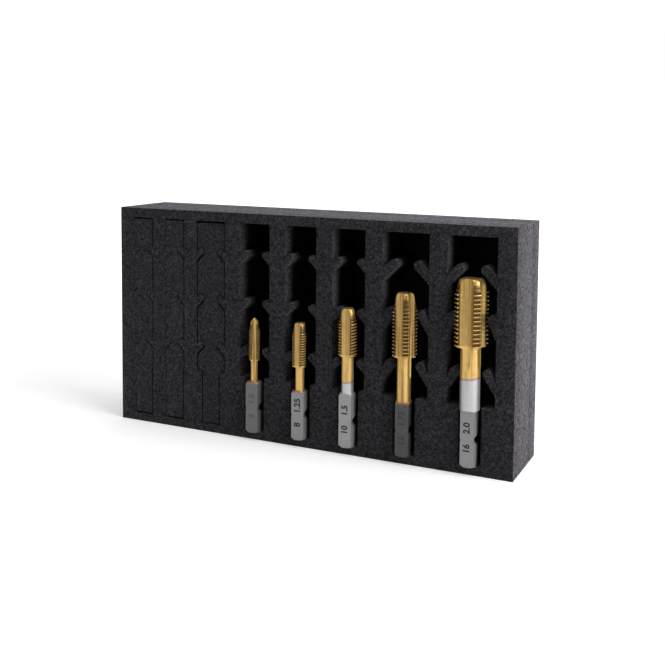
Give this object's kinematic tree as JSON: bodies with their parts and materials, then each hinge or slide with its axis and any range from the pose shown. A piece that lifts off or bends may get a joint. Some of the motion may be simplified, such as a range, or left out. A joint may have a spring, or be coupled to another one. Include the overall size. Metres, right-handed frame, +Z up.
{
  "type": "tap storage insert",
  "caption": "Closed-cell foam tool insert with finger-grip pockets, holding a row of square-shank machine taps and foam knock-outs still in place.",
  "frame": {"origin": "middle of the face that the block stands on, its lower long edge", "axes": "+X to the right along the block's length, +Y from the pocket face to the back, +Z up"},
  "size_m": [0.2214, 0.0485, 0.118],
  "materials": {
    "foam": "matt black closed-cell foam with a fine cell grain",
    "coated_steel": "ground steel, gold hard coating on the thread and bare on the square shank"
  },
  "bodies": {
    "foam_block": {"pocket_layer": "foam", "base_layer": "foam"},
    "tap_m6": {"tap_m6": "coated_steel"},
    "tap_m8": {"tap_m8": "coated_steel"},
    "tap_m10": {"tap_m10": "coated_steel"},
    "tap_m12": {"tap_m12": "coated_steel"},
    "tap_m16": {"tap_m16": "coated_steel"},
    "knockout_1": {"knockout_1": "foam"},
    "knockout_2": {"knockout_2": "foam"},
    "knockout_3": {"knockout_3": "foam"}
  },
  "joints": [
    {"name": "tap_m6_slide", "type": "slide", "parent": "foam_block", "child": "tap_m6", "axis": [0, -1, 0], "range_m": [-0.0223, 0.0107]},
    {"name": "tap_m8_slide", "type": "slide", "parent": "foam_block", "child": "tap_m8", "axis": [0, -1, 0], "range_m": [-0.0223, 0.0107]},
    {"name": "tap_m10_slide", "type": "slide", "parent": "foam_block", "child": "tap_m10", "axis": [0, -1, 0], "range_m": [-0.022, 0.011]},
    {"name": "tap_m12_slide", "type": "slide", "parent": "foam_block", "child": "tap_m12", "axis": [0, -1, 0], "range_m": [-0.021, 0.012]},
    {"name": "tap_m16_slide", "type": "slide", "parent": "foam_block", "child": "tap_m16", "axis": [0, -1, 0], "range_m": [-0.019, 0.014]},
    {"name": "knockout_1_slide", "type": "slide", "parent": "foam_block", "child": "knockout_1", "axis": [0, -1, 0], "range_m": [0, 0.032]},
    {"name": "knockout_2_slide", "type": "slide", "parent": "foam_block", "child": "knockout_2", "axis": [0, -1, 0], "range_m": [0, 0.032]},
    {"name": "knockout_3_slide", "type": "slide", "parent": "foam_block", "child": "knockout_3", "axis": [0, -1, 0], "range_m": [0, 0.032]}
  ]
}
